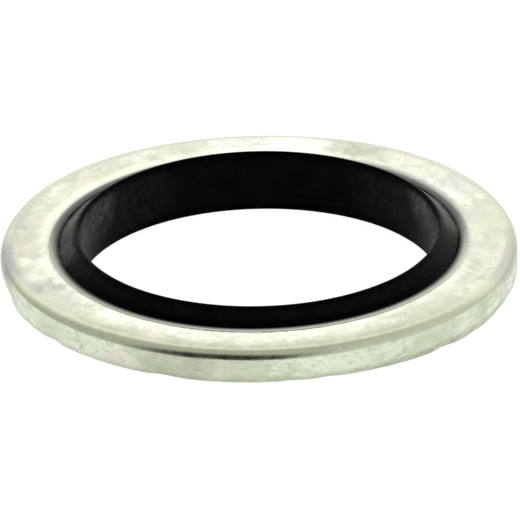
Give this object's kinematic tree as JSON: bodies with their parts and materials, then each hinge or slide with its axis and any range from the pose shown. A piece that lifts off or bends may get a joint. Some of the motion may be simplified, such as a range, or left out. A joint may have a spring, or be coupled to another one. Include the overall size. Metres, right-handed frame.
{
  "type": "bonded sealing washer",
  "caption": "Flat zinc-plated steel washer with a black rubber lip seal bonded into its bore, for sealing under a bolt or fitting.",
  "frame": {"origin": "on the washer's axis, half way up the seal", "axes": "+Z along the washer's axis, out of the face where the bore of the metal has its die roll"},
  "size_m": [0.024, 0.024, 0.003],
  "materials": {
    "zinc_plate": "bright zinc plate with a pale yellow-green passivate, satin and slightly blotchy",
    "black_rubber": "moulded black rubber, smooth, semi-matt"
  },
  "bodies": {
    "root": {"metal_washer": "zinc_plate", "rubber_seal": "black_rubber"}
  },
  "joints": []
}
